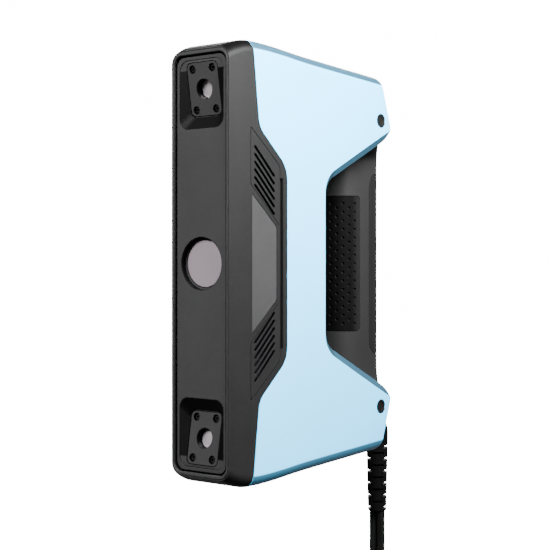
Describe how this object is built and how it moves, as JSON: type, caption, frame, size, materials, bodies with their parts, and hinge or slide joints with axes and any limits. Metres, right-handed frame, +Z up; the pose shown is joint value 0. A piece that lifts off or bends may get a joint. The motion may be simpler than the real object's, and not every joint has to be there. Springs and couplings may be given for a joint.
{
  "type": "handheld scanner",
  "caption": "Handheld structured-light scanner: slim upright head with projector and two cameras, metal side covers, rear hand grip with buttons, and two coiled cables.",
  "frame": {"origin": "middle of the hand grip, on its long axis", "axes": "+Z up along the grip; the scanner looks along -Y, so +Y points at the user; +X is towards the user's right hand"},
  "size_m": [0.1098, 0.1894, 0.3804],
  "materials": {
    "black_plastic": "fine moulded texture, satin",
    "panel_plastic": "fine moulded texture, satin",
    "grey_plastic": "satin",
    "blue_metal": "fine metallic grain, satin",
    "rubber": "matt",
    "lens_glass": "polished, coated",
    "anodised_metal": "black anodised",
    "black_steel": "black oxide",
    "bare_aluminium": "machined",
    "circuit_board": "solder mask",
    "light_plastic": "clear tinted",
    "tie_fabric": "woven strap",
    "plug_metal": "nickel plated"
  },
  "bodies": {
    "scanner": {"front_bezel": "black_plastic", "front_housing": "black_plastic", "rear_housing": "black_plastic", "handle_frame": "black_plastic", "rear_handle_cover": "black_plastic", "fan_frame": "black_plastic", "cable_gland": "black_plastic", "projector_body": "black_plastic", "front_panel": "panel_plastic", "upper_camera_plate": "panel_plastic", "lower_camera_plate": "panel_plastic", "projector_window": "lens_glass", "upper_camera_window": "lens_glass", "lower_camera_window": "lens_glass", "upper_camera_lens": "anodised_metal", "upper_camera_body": "anodised_metal", "upper_plate_screw_1": "black_steel", "upper_plate_screw_2": "black_steel", "upper_plate_screw_3": "black_steel", "upper_plate_screw_4": "black_steel", "right_upper_grille": "black_plastic", "right_upper_cover_cap": "grey_plastic", "left_upper_grille": "black_plastic", "left_upper_cover_cap": "grey_plastic", "lower_camera_lens": "anodised_metal", "lower_camera_body": "anodised_metal", "lower_plate_screw_1": "black_steel", "lower_plate_screw_2": "black_steel", "lower_plate_screw_3": "black_steel", "lower_plate_screw_4": "black_steel", "right_lower_grille": "black_plastic", "right_lower_cover_cap": "grey_plastic", "left_lower_grille": "black_plastic", "left_lower_cover_cap": "grey_plastic", "right_cover": "blue_metal", "right_label_plate": "grey_plastic", "left_cover": "blue_metal", "left_label_plate": "grey_plastic", "grip_pad": "rubber", "cable_boot": "rubber", "usb_cable": "rubber", "power_cable": "rubber", "usb_cable_coil": "rubber", "power_cable_coil": "rubber", "usb_cable_tail": "rubber", "power_cable_tail": "rubber", "cable_tie": "tie_fabric", "status_light": "light_plastic", "button_board": "circuit_board", "main_board": "circuit_board", "optical_frame": "bare_aluminium", "projector_lens": "bare_aluminium", "heat_sink": "bare_aluminium", "usb_plug": "plug_metal", "power_plug": "plug_metal"},
    "plus_button_body": {"plus_button": "grey_plastic"},
    "scan_button_body": {"scan_button": "grey_plastic"},
    "minus_button_body": {"minus_button": "grey_plastic"},
    "fan_rotor_body": {"fan_rotor": "black_plastic"}
  },
  "joints": [
    {"name": "plus_button_press", "type": "slide", "parent": "scanner", "child": "plus_button_body", "axis": [0, -1, 0], "range_m": [0, 0.0008], "stiffness_N_per_m": 600},
    {"name": "scan_button_press", "type": "slide", "parent": "scanner", "child": "scan_button_body", "axis": [0, -1, 0], "range_m": [0, 0.0008], "stiffness_N_per_m": 600},
    {"name": "minus_button_press", "type": "slide", "parent": "scanner", "child": "minus_button_body", "axis": [0, -1, 0], "range_m": [0, 0.0008], "stiffness_N_per_m": 600},
    {"name": "fan_spin", "type": "hinge", "parent": "scanner", "child": "fan_rotor_body", "pos_m": [0, -0.098, 0.037], "axis": [0, 0, 1], "continuous": true}
  ]
}
